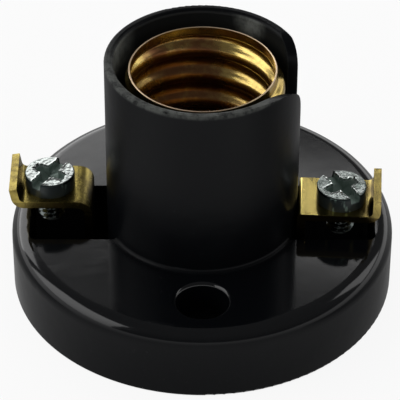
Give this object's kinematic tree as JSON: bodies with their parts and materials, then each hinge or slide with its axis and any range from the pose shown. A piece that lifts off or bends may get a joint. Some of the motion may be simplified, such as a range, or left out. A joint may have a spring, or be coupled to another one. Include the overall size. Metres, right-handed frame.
{
  "type": "lamp holder",
  "caption": "Surface-mounting lamp holder: round black base with a tube around a rolled brass screw shell, and a brass screw terminal on each side.",
  "frame": {"origin": "on the mounting surface, on the axis of the base and the tube", "axes": "+Z along the axis, out of the base towards the tube's open end; +X towards the right terminal; the fixing holes lie along Y, and -Y is the front"},
  "size_m": [0.035, 0.035, 0.024],
  "materials": {
    "moulding": "glossy black phenolic moulding",
    "shell_brass": "rolled brass, lightly aged",
    "contact_brass": "spring brass",
    "left_terminal_brass": "aged olive brass strip",
    "right_terminal_brass": "bright brass strip",
    "rivet_brass": "brass rivet",
    "screw_plating": "bright zinc plated steel"
  },
  "bodies": {
    "holder": {"moulded_body": "moulding", "screw_shell": "shell_brass", "centre_contact": "contact_brass", "terminal_left": "left_terminal_brass", "terminal_right": "right_terminal_brass", "rivet_contact": "rivet_brass", "rivet_shell": "rivet_brass"},
    "left_screw": {"screw_left": "screw_plating"},
    "right_screw": {"screw_right": "screw_plating"}
  },
  "joints": [
    {"name": "left_screw_lift", "type": "slide", "parent": "holder", "child": "left_screw", "axis": [0, 0, 1], "range_m": [0, 0.002]},
    {"name": "right_screw_lift", "type": "slide", "parent": "holder", "child": "right_screw", "axis": [0, 0, 1], "range_m": [0, 0.002]}
  ]
}
